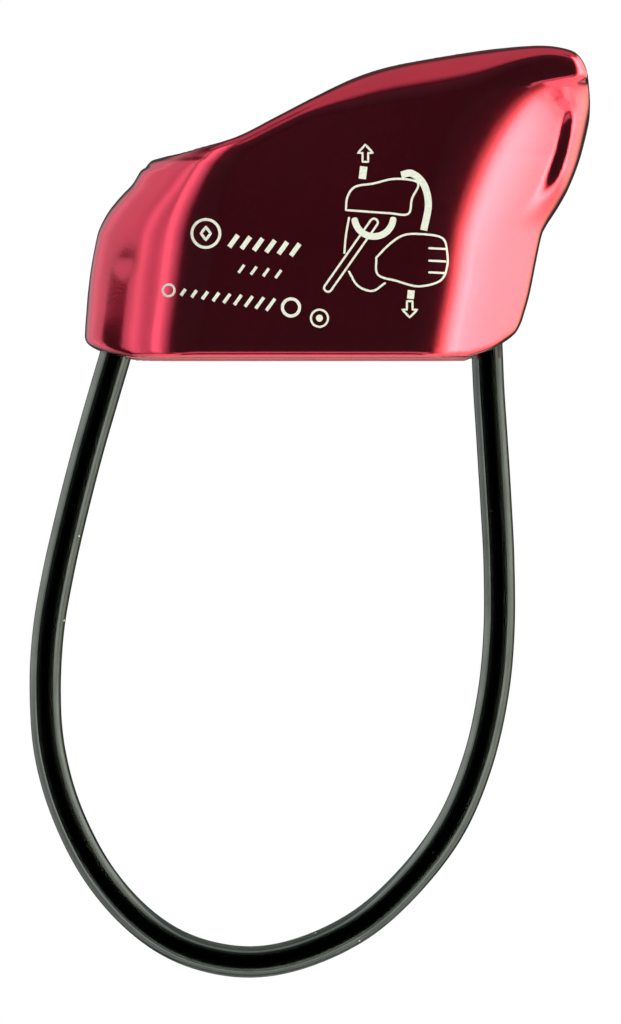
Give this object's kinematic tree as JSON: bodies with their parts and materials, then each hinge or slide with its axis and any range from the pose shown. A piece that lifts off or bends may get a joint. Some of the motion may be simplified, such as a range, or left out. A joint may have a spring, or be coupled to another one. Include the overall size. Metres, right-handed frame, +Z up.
{
  "type": "belay device",
  "caption": "Tube-style belay device: anodised forged body with rope slots side by side, V grooves in a raised nose and a coated wire keeper loop.",
  "frame": {"origin": "middle of the carabiner seat, the flat underside of the web between the two rope slots", "axes": "+X towards the raised braking nose, +Z up out of the slots with the keeper loop hanging along -Z, +Y towards the back wall"},
  "size_m": [0.0727, 0.035, 0.1205],
  "materials": {
    "body_anodised": "polished and anodised deep red",
    "ferrule_steel": "swaged, satin",
    "jacket_vinyl": "black, slightly see-through, glossy",
    "wire_steel": "drawn galvanised wire"
  },
  "bodies": {
    "device": {"body": "body_anodised", "stop_ferrule_left": "ferrule_steel", "stop_ferrule_right": "ferrule_steel", "cable_end_left": "jacket_vinyl", "cable_end_right": "jacket_vinyl"},
    "keeper_loop": {"cable_jacket": "jacket_vinyl", "wire_core_strand": "wire_steel", "wire_outer_strand_1": "wire_steel", "wire_outer_strand_2": "wire_steel", "wire_outer_strand_3": "wire_steel", "wire_outer_strand_4": "wire_steel", "wire_outer_strand_5": "wire_steel", "wire_outer_strand_6": "wire_steel"}
  },
  "joints": [
    {"name": "keeper_flex", "type": "hinge", "parent": "device", "child": "keeper_loop", "pos_m": [0, 0, -0.0015], "axis": [1, 0, 0], "range_deg": [-35, 35], "stiffness_Nm_per_rad": 0.08}
  ]
}
